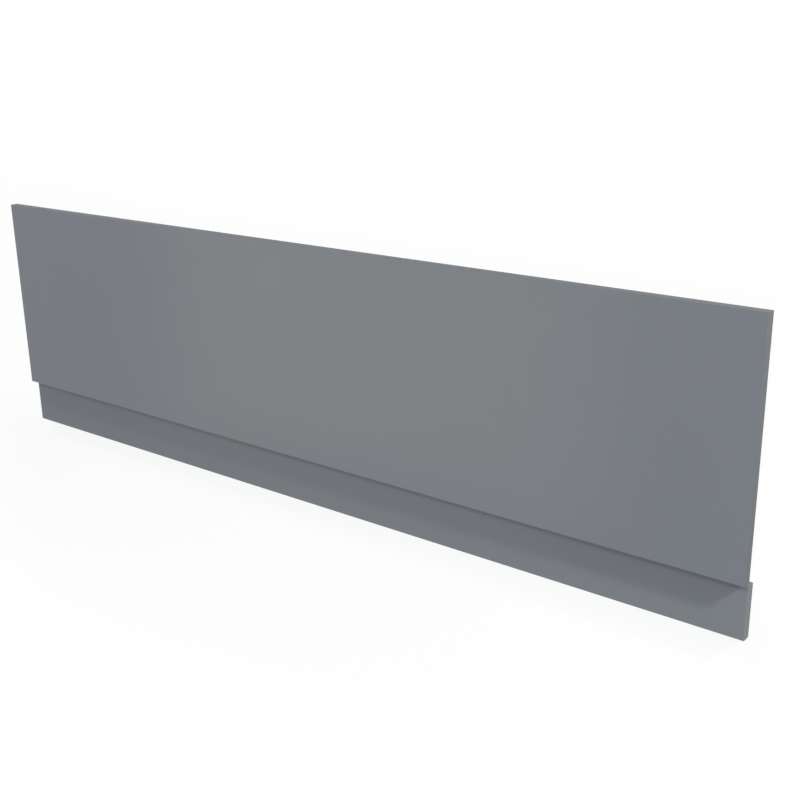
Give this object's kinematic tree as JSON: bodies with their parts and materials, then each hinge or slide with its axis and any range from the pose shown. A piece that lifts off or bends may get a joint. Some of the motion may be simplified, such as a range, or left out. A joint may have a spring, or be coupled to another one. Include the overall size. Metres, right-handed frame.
{
  "type": "bath panel",
  "caption": "Flat gloss grey bath front panel with a narrower plinth board set back below it and held on by slotted angle brackets.",
  "frame": {"origin": "on the floor, under the middle of the panel and plinth taken together, level with the plinth's back face", "axes": "+X along the panel to its right end as seen from the front, +Y towards the panel's top edge, +Z out of its finished face"},
  "size_m": [1.7, 0.5, 0.032],
  "materials": {
    "grey_foil_board": "gloss",
    "zinc_steel": "satin"
  },
  "bodies": {
    "root": {"front_panel": "grey_foil_board", "plinth_board": "grey_foil_board", "plinth_bracket_left": "zinc_steel", "plinth_bracket_centre": "zinc_steel", "plinth_bracket_right": "zinc_steel"}
  },
  "joints": []
}
